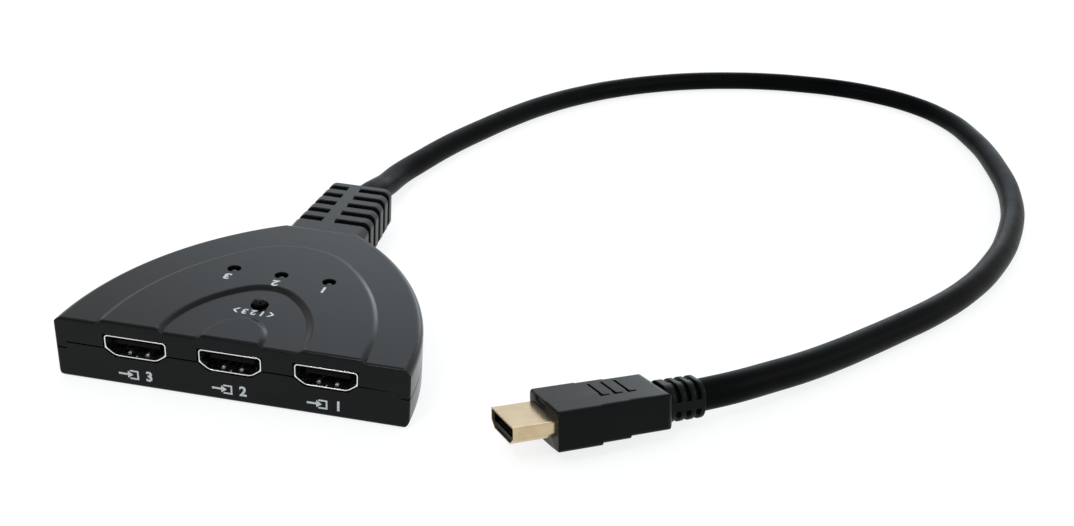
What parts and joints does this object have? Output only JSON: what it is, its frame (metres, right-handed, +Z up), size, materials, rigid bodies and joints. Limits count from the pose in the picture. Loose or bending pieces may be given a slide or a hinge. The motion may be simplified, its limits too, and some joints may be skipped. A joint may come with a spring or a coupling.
{
  "type": "video switch box with a captive output lead",
  "caption": "Small black plastic video switch box with a row of digital video inputs, a select button and indicator lamps on its stepped roof, and a short captive lead with a plug",
  "frame": {"origin": "middle of the case's underside, on the surface that it stands on", "axes": "+X along the row of inputs, -Y out of the inputs, +Y towards the captive lead, +Z up"},
  "size_m": [0.2643, 0.3234, 0.017],
  "materials": {
    "case_plastic": "fine spark texture, semi-matte black",
    "base_plastic": "fine spark texture, semi-matte black",
    "boot_rubber": "moulded soft plastic, satin",
    "cable_jacket": "smooth jacket, satin black",
    "plug_mould": "moulded soft plastic, satin",
    "port_steel": "bright nickel plate",
    "gold_plate": "pale gold plate",
    "insulator_plastic": "moulded black",
    "contact_gold": "gold flash on bronze",
    "button_plastic": "smooth black",
    "lamp_lens": "clear epoxy, unlit",
    "board_green": "solder mask on glass fibre",
    "tinned_metal": "tinned",
    "chip_plastic": "moulded epoxy",
    "ceramic_tan": "ceramic with tinned ends",
    "screw_steel": "zinc plated",
    "wire_copper": "insulated strands"
  },
  "bodies": {
    "case": {"top_cover": "case_plastic", "bottom_cover": "base_plastic", "case_screws": "screw_steel", "circuit_board": "board_green", "port_shell_1": "port_steel", "port_shell_2": "port_steel", "port_shell_3": "port_steel", "port_insulator_1": "insulator_plastic", "port_insulator_2": "insulator_plastic", "port_insulator_3": "insulator_plastic", "port_contacts_1": "contact_gold", "port_contacts_2": "contact_gold", "port_contacts_3": "contact_gold", "switch_housing": "insulator_plastic", "switch_plate": "tinned_metal", "switch_dome": "tinned_metal", "switch_terminals": "tinned_metal", "led_1": "lamp_lens", "led_2": "lamp_lens", "led_3": "lamp_lens", "led_leads": "tinned_metal", "switch_chip": "chip_plastic", "chip_legs": "tinned_metal", "board_capacitors": "ceramic_tan", "board_resistors": "chip_plastic", "board_diodes": "chip_plastic", "strain_relief": "boot_rubber", "cable_tail": "cable_jacket", "cable_wires": "wire_copper", "output_cable": "cable_jacket", "plug_body": "plug_mould", "plug_relief": "plug_mould", "plug_cable_end": "cable_jacket", "plug_shell": "gold_plate", "plug_insulator": "insulator_plastic", "plug_contacts": "contact_gold"},
    "button": {"select_button": "button_plastic"}
  },
  "joints": [
    {"name": "button_press", "type": "slide", "parent": "case", "child": "button", "axis": [0, 0, -1], "range_m": [0, 0.00025], "stiffness_N_per_m": 6400, "deforming": ["switch_dome"]}
  ]
}
